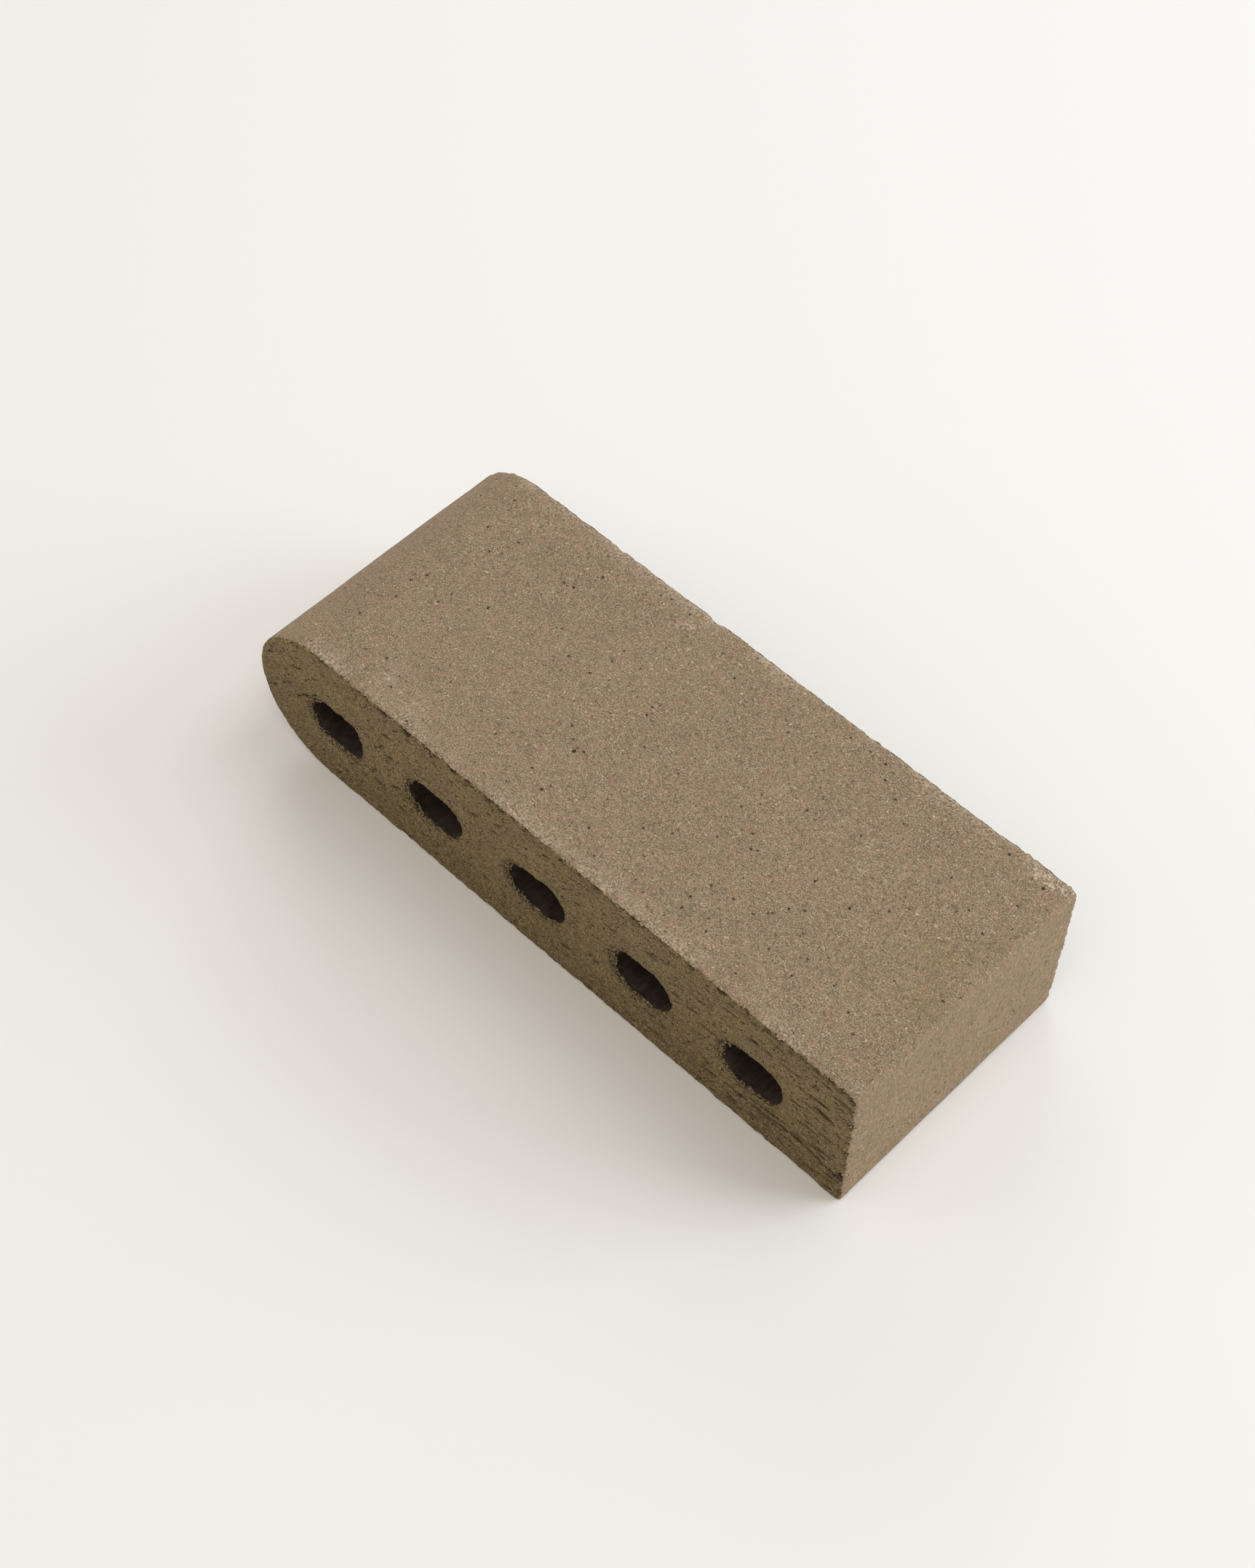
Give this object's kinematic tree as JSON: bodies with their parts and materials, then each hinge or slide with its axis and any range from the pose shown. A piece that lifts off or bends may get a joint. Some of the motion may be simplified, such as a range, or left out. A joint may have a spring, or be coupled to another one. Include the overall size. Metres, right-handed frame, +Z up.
{
  "type": "bullnose clay paver",
  "caption": "Fired clay paver: a flat unglazed block with one full half-round nose, one square end and a row of obround cores running through its width.",
  "frame": {"origin": "middle of the bed, which is the bottom centre of the bounding box", "axes": "+X from the bullnose tip towards the square end (the length), +Y along the cores (the width), +Z up from the bed (the thickness)"},
  "size_m": [0.235, 0.092, 0.057],
  "materials": {
    "fired_clay": "matt unglazed taupe clay, die skin on the top and ends, wire-cut drag texture on the two long faces"
  },
  "bodies": {
    "root": {"paver": "fired_clay"}
  },
  "joints": []
}
